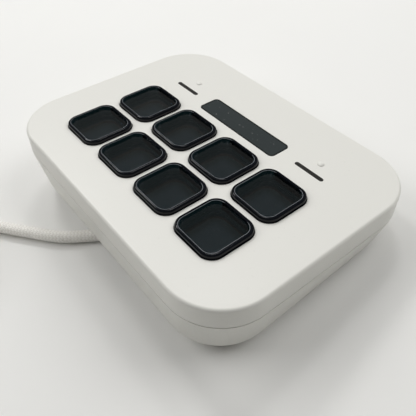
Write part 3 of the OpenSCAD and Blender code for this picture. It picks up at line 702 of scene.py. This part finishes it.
finishes = {
    "shell_white": mouldedMaterial("satin_white_shell", {
        "color": (0.74, 0.735, 0.69), "tint": (0.72, 0.71, 0.665), "grain": 5200, "roughness": 0.38,
        "bump": 0.12, "depth": 0.015 * mm, "dust": 0.12}),
    "pad_rubber": mouldedMaterial("dark_foot_rubber", {
        "color": (0.055, 0.055, 0.057), "tint": (0.08, 0.08, 0.08), "grain": 2600, "roughness": 0.75,
        "bump": 0.3, "depth": 0.04 * mm, "dust": 0.3, "specular": 0.3}),
    "smoked_lens": windowMaterial("smoked_info_window", {
        "color": (0.028, 0.035, 0.036), "tint": (0.034, 0.041, 0.041), "grain": 3000, "roughness": 0.25,
        "bump": 0.02, "depth": 0.004 * mm, "dust": 0.1, "specular": 0.3,
        "print": (0.012, 0.015, 0.015), "size": (35.2 * mm, 8 * mm), "corner": 1.2 * mm,
        "border": (0.1 * mm, 0.9 * mm)}),
    "strip_grey": mouldedMaterial("smoked_light_strip", {
        "color": (0.022, 0.021, 0.019), "tint": (0.028, 0.026, 0.024), "grain": 3000, "roughness": 0.35,
        "bump": 0.05, "depth": 0.005 * mm, "specular": 0.25}),
    "led_white": mouldedMaterial("led_resin", {
        "color": (0.75, 0.72, 0.45), "tint": (0.8, 0.78, 0.6), "grain": 2000, "roughness": 0.25}),
    # painted light: the silicone's glow, darker towards the key walls as painted shade
    "mat_silicone": paintedGlowMaterial("dark_silicone", {
        "color": (0.010, 0.0145, 0.0155), "tint": (0.012, 0.0165, 0.0175), "grain": 1800, "roughness": 0.7,
        "specular": 0.15, "glow": (0.0015, 0.0045, 0.0055), "glowEdge": (0.0012, 0.0042, 0.0050)}),
    "board_green": mouldedMaterial("solder_mask", {
        "color": (0.004, 0.012, 0.008), "tint": (0.006, 0.017, 0.011), "grain": 1500, "roughness": 0.5,
        "specular": 0.2}),
    # painted light: the display's glow, darker towards the key walls as painted shade
    "display_black": paintedGlowMaterial("display_glass_face", {
        "color": (0.016, 0.0225, 0.0255), "tint": (0.018, 0.0245, 0.0275), "grain": 900, "roughness": 0.5,
        "bump": 0.01, "depth": 0.002 * mm, "specular": 0.1, "glow": (0.0054, 0.0104, 0.0132),
        "glowEdge": (0.0010, 0.0045, 0.0050)}),
    "backlight_white": mouldedMaterial("backlight_film", {
        "color": (0.75, 0.75, 0.75), "tint": (0.7, 0.7, 0.7), "grain": 2000, "roughness": 0.5}),
    "frame_steel": mouldedMaterial("pressed_steel", {
        "color": (0.55, 0.55, 0.54), "tint": (0.48, 0.48, 0.48), "grain": 1300, "roughness": 0.32,
        "metallic": 1.0}),
    "screw_steel": mouldedMaterial("nickel_screws", {
        "color": (0.62, 0.61, 0.58), "tint": (0.52, 0.51, 0.49), "grain": 2400, "roughness": 0.25,
        "metallic": 1.0}),
    "ribbon_amber": coatedMaterial("polyimide_ribbon", {
        "color": (0.45, 0.17, 0.02), "tint": (0.5, 0.22, 0.04), "grain": 1200, "roughness": 0.25,
        "coat": 0.4, "coatRoughness": 0.08}),
    "chip_black": mouldedMaterial("chip_resin", {
        "color": (0.014, 0.014, 0.015), "tint": (0.022, 0.022, 0.022), "grain": 3200, "roughness": 0.6}),
    "socket_ivory": mouldedMaterial("socket_plastic", {
        "color": (0.62, 0.57, 0.42), "tint": (0.58, 0.53, 0.4), "grain": 2500, "roughness": 0.5}),
    "ballast_steel": mouldedMaterial("zinc_ballast", {
        "color": (0.42, 0.43, 0.45), "tint": (0.34, 0.35, 0.37), "grain": 500, "roughness": 0.45,
        "metallic": 1.0}),
    "boot_rubber": mouldedMaterial("pale_boot_rubber", {
        "color": (0.66, 0.65, 0.62), "tint": (0.6, 0.59, 0.56), "grain": 3000, "roughness": 0.6}),
    "grip_white": mouldedMaterial("satin_plug_grip", {
        "color": (0.76, 0.75, 0.72), "tint": (0.72, 0.71, 0.68), "grain": 4200, "roughness": 0.4}),
    "plug_steel": mouldedMaterial("plug_shell_steel", {
        "color": (0.6, 0.6, 0.58), "tint": (0.52, 0.52, 0.5), "grain": 1500, "roughness": 0.28,
        "metallic": 1.0}),
    # key rim: its line colour is a painted highlight, and the glow on the walls under the lens is painted
    # light
    "key_black": keyRimMaterial("gloss_black_key", {
        "color": (0.0016, 0.0026, 0.005), "tint": (0.002, 0.0032, 0.006), "grain": 2500, "roughness": 0.14,
        "spread": 0.04, "bump": 0.02, "depth": 0.004 * mm, "specular": 0.25, "line": (0.19, 0.205, 0.215),
        "walls": (0.0016, 0.0050, 0.0056)}),
    "key_clear": clearMaterial("clear_key_lens", {
        "color": (0.86, 0.9, 0.9), "tint": (0.82, 0.86, 0.87), "grain": 1500, "roughness": 0.03,
        "spread": 0.02, "bump": 0.02, "depth": 0.005 * mm, "dust": 0.1, "ior": 1.49}),
    "cable_braid": braidMaterial("white_braid", {
        "color": (0.97, 0.95, 0.90), "gap": (0.74, 0.71, 0.65), "strands": 10, "pitch": 850,
        "roughness": 0.4, "sheen": 0.8, "bump": 0.9, "depth": 0.14 * mm}),
}


def dressNodes():
    slots = {row["node"]: row["material_slot"] for row in frame["record"]["subparts"]}
    for name, node in nodes.items():
        node.data.materials.clear()
        node.data.materials.append(finishes[slots[name]])


dressNodes()
cable.data.materials.append(finishes["cable_braid"])
tie.data.materials.append(finishes["boot_rubber"])
strips.data.materials.append(finishes["strip_grey"])
nubs.data.materials.append(finishes["shell_white"])
print("materials on")


# Table and light

stageSettings = {
    "floorSize": 4.0,
    "floorColor": (0.83, 0.827, 0.803),
    "floorRoughness": 0.6,
    "stain": (14.0, 3.0, 0.6),  # scale, detail and roughness of the floor's slow tone
    "stainTone": 0.97,
    "roomColor": (1.0, 0.99, 0.97),
    "roomLight": 0.17,
    "lampReach": 0.75,  # from the middle of the table
    "lamps": (  # name, turn from +X, lift over the table, size, watts, mirrored by gloss
        ("glint_left", -13, 49, 0.12, 1.0, True),
        ("glint_right", -50, 57, 0.12, 0.5, True),
        ("front", -44, 38, 0.5, 1.1, False),
        ("left", 40, 45, 0.5, 2.25, False),
        ("right", -115, 45, 0.5, 2.4, False),
    ),
}


def makeFloor(s):
    bm = bmesh.new()
    bmesh.ops.create_grid(bm, x_segments=1, y_segments=1, size=s["floorSize"] / 2)
    floor = newPiece("table_top", bm)
    material, tree, shader = startMaterial("white_table")
    stain = noiseNode(tree, objectVector(tree), *s["stain"])
    darker = [c * s["stainTone"] for c in s["floorColor"]]
    tone = mixColor(tree, stain, (*s["floorColor"], 1), (*darker, 1))
    tree.links.new(tone, shader.inputs["Base Color"])
    shader.inputs["Roughness"].default_value = s["floorRoughness"]
    floor.data.materials.append(material)


def makeLamp(reach, name, turn, lift, size, power, mirrored):
    data = bpy.data.lights.new(name, "AREA")
    data.size = size
    data.energy = power
    lamp = bpy.data.objects.new(name, data)
    turned = Matrix.Rotation(math.radians(turn), 4, "Z")
    away = turned @ Matrix.Rotation(math.radians(-lift), 4, "Y")
    at = away @ Vector((reach, 0, 0))
    lamp.matrix_world = Matrix.Translation(at) @ (-at).to_track_quat("-Z", "Y").to_matrix().to_4x4()
    lamp.visible_glossy = mirrored
    lamp.visible_transmission = False  # or the clear keys would mirror it inside
    scene.collection.objects.link(lamp)


def makeRoom(s):
    world = bpy.data.worlds.new("room")
    scene.world = world
    world.use_nodes = True
    tree = world.node_tree
    background = tree.nodes["Background"]
    background.inputs["Color"].default_value = (*s["roomColor"], 1)
    background.inputs["Strength"].default_value = s["roomLight"]
    for lamp in s["lamps"]:
        makeLamp(s["lampReach"], *lamp)


makeFloor(stageSettings)
makeRoom(stageSettings)
scene.view_settings.view_transform = "Standard"
print("table and light set")
